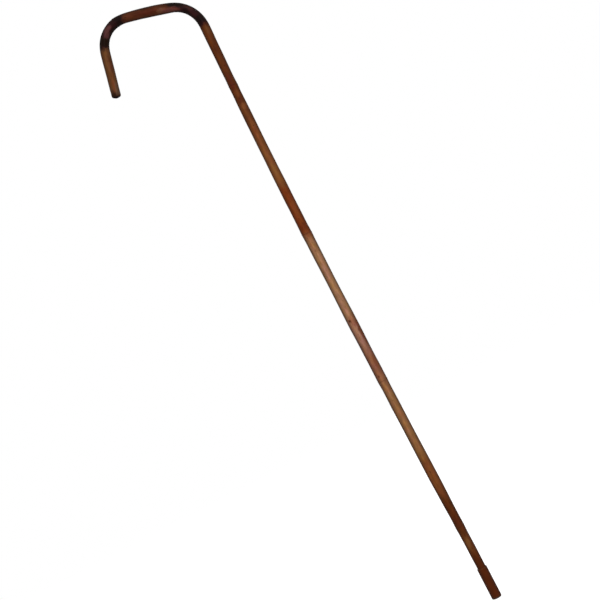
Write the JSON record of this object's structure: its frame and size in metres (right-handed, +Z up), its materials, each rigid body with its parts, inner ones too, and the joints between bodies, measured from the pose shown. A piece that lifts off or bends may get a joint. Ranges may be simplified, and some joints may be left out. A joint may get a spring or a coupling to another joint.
{
  "type": "single point walking cane",
  "caption": "Slim bent rattan walking cane with a squared crook handle and a pinned metal ferrule at its foot.",
  "frame": {"origin": "centre of the ferrule's flat ground face", "axes": "+Z up along the ferrule and shaft, crook handle towards -X, the whole stick in the XZ plane"},
  "size_m": [0.1584, 0.0148, 0.9134],
  "materials": {
    "stick": "satin varnish over brown-stained rattan, scorched dark on the bends",
    "ferrule": "dark red-brown lacquer, worn at the edges",
    "ground_face": "dull, scuffed by the ground",
    "brad": "dull, darkened"
  },
  "bodies": {
    "root": {"bent_stick": "stick", "ferrule_sleeve": "ferrule", "ferrule_base": "ground_face", "ferrule_pin": "brad"}
  },
  "joints": []
}
